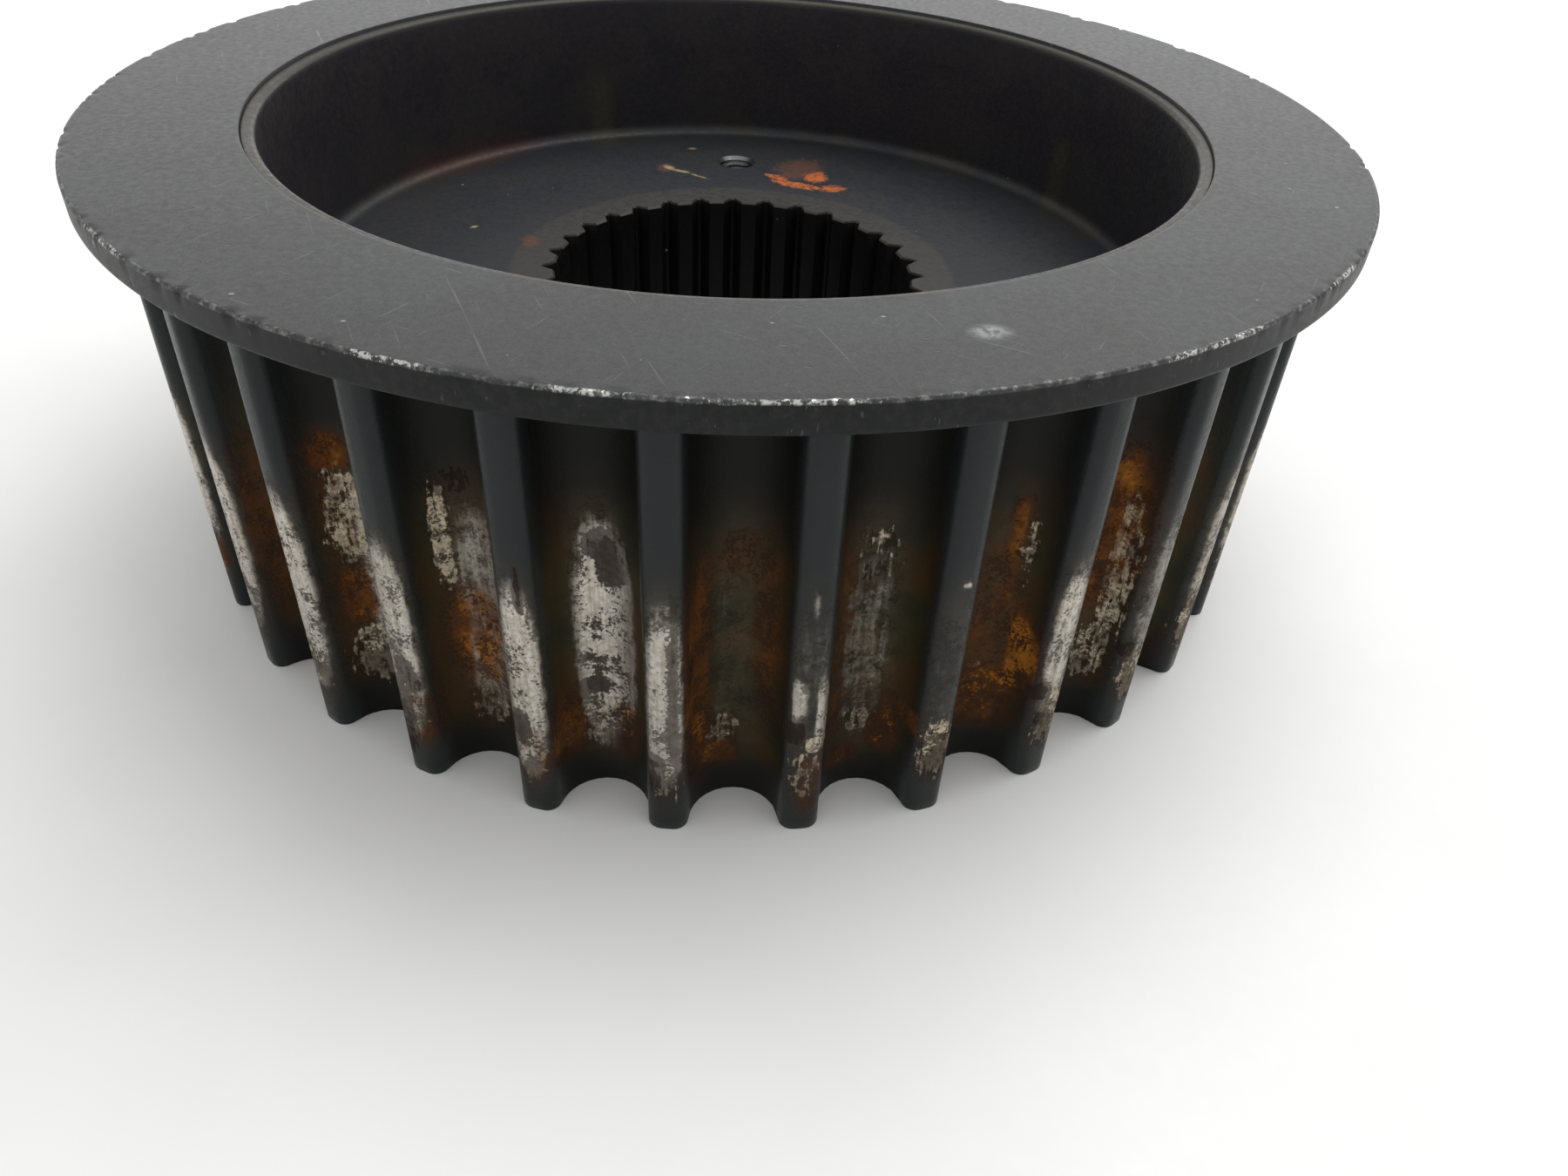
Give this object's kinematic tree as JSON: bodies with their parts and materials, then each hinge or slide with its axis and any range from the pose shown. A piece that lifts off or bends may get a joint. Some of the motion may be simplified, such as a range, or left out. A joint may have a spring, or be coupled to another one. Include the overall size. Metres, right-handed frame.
{
  "type": "toothed belt pulley",
  "caption": "Steel toothed-belt drive pulley: round-grooved drum, deep front recess, internally splined hub and one ring-shaped guide flange held by a rolled lip.",
  "frame": {"origin": "centre of the drum's plain toothed end, on the pulley's axis, which is what it stands on", "axes": "+Z along the pulley's axis from the plain end towards the guide flange; -Y faces the viewer, with +X to the right; a tapped hole lies on +Y and one on -Y"},
  "size_m": [0.1476, 0.1476, 0.0526],
  "materials": {
    "oxide_steel": "black oxide on steel, worn to scratched bare metal on the lands and groove floors, with rust",
    "flange_steel": "satin dark grey steel with fine scratches and chipped bright edges"
  },
  "bodies": {
    "root": {"pulley_body": "oxide_steel", "guide_flange": "flange_steel"}
  },
  "joints": []
}
